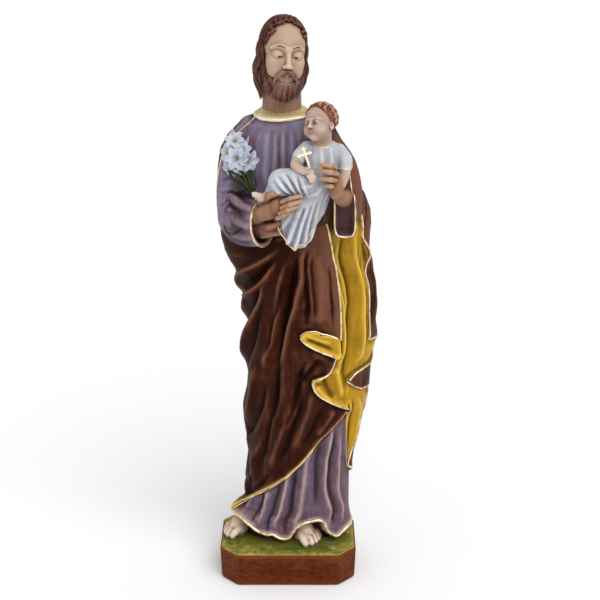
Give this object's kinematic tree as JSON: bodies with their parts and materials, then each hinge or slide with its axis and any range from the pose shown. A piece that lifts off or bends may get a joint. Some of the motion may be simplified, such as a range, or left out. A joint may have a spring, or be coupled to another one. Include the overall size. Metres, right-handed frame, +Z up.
{
  "type": "saint joseph statue",
  "caption": "Standing painted plaster statue of a bearded saint in tunic and mantle holding a child and lilies, on a grassy octagonal plinth.",
  "frame": {"origin": "centre of the plinth's flat underside", "axes": "+Z up through the figure, -Y the way the figure faces, +X the viewer's right"},
  "size_m": [0.1679, 0.1371, 0.5996],
  "materials": {
    "painted_plaster": "matt hand-painted plaster, dry brushed"
  },
  "bodies": {
    "root": {"statue": "painted_plaster"}
  },
  "joints": []
}
